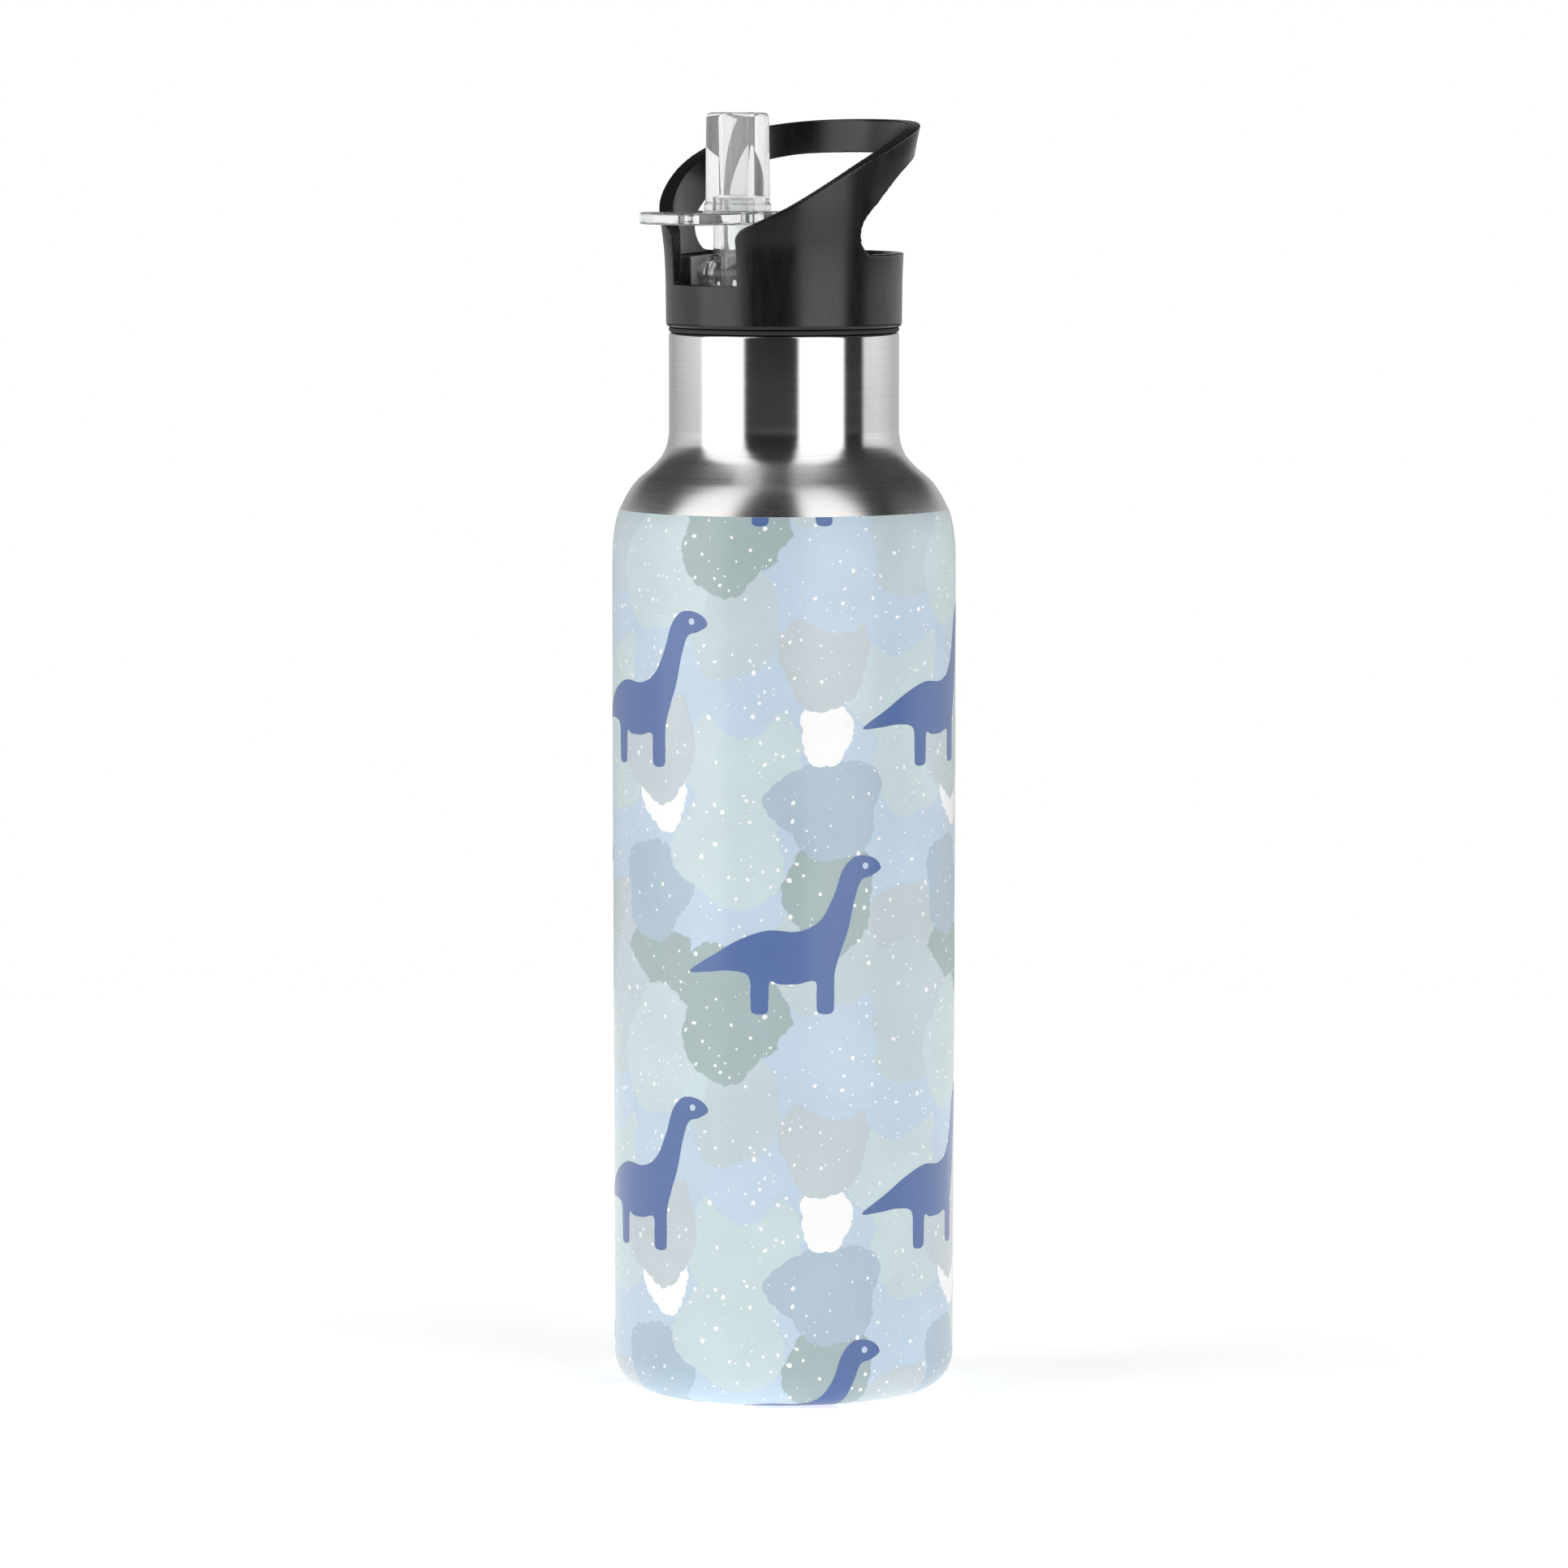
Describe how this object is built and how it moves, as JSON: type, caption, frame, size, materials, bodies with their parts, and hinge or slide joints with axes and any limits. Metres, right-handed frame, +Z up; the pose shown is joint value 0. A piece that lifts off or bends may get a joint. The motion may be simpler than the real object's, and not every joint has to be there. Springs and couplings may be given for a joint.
{
  "type": "kids water bottle",
  "caption": "Double-wall steel drinking bottle for children with a screw-in lid, a carry loop moulded into the lid, a flip-up straw spout and a straw that reaches the floor.",
  "frame": {"origin": "on the bottle's axis at the plane of its standing ring", "axes": "+Z up along the bottle's axis, -Y towards the thumb tab at the lid's front, +Y towards the carry loop"},
  "size_m": [0.0732, 0.0732, 0.2724],
  "materials": {
    "outer_steel": "bare brushed neck and shoulder, glossy printed coat below",
    "printed_base": "glossy printed coat",
    "base_disc_steel": "brushed",
    "seal_glass": "fused bead",
    "getter_metal": "pressed",
    "getter_alloy": "sintered",
    "liner_steel": "satin",
    "liner_base_steel": "satin",
    "lid_black": "fine moulded texture",
    "plug_black": "moulded",
    "gasket_black": "silicone",
    "cradle_grey": "moulded",
    "pin_steel_left": "turned",
    "pin_steel_right": "turned",
    "port_silicone": "silicone",
    "valve_silicone": "silicone",
    "collar_silicone": "silicone",
    "straw_plastic": "translucent extrusion",
    "spout_clear": "clear moulding",
    "mouthpiece_clear": "clear silicone"
  },
  "bodies": {
    "bottle": {"outer_shell": "outer_steel", "outer_base": "printed_base", "base_disc": "base_disc_steel", "vacuum_seal_bead": "seal_glass", "getter_cup": "getter_metal", "getter_pellet": "getter_alloy", "inner_liner": "liner_steel", "liner_base": "liner_base_steel"},
    "gasket": {"lid_gasket": "gasket_black"},
    "lid": {"lid_shell": "lid_black", "lid_plug": "plug_black", "hinge_cradle": "cradle_grey", "hinge_pin_left": "pin_steel_left", "hinge_pin_right": "pin_steel_right", "port_seal": "port_silicone", "vent_valve": "valve_silicone", "straw_collar": "collar_silicone", "straw": "straw_plastic"},
    "spout": {"spout_body": "spout_clear", "mouthpiece": "mouthpiece_clear"}
  },
  "joints": [
    {"name": "lid_lift", "type": "slide", "parent": "bottle", "child": "gasket", "axis": [0, 0, 1], "range_m": [0, 0.23]},
    {"name": "lid_turn", "type": "hinge", "parent": "gasket", "child": "lid", "pos_m": [0, 0, 0.227], "axis": [0, 0, 1], "range_deg": [0, 540]},
    {"name": "spout_flip", "type": "hinge", "parent": "lid", "child": "spout", "pos_m": [0, -0.0136, 0.2383], "axis": [-1, 0, 0], "range_deg": [0, 90]}
  ]
}
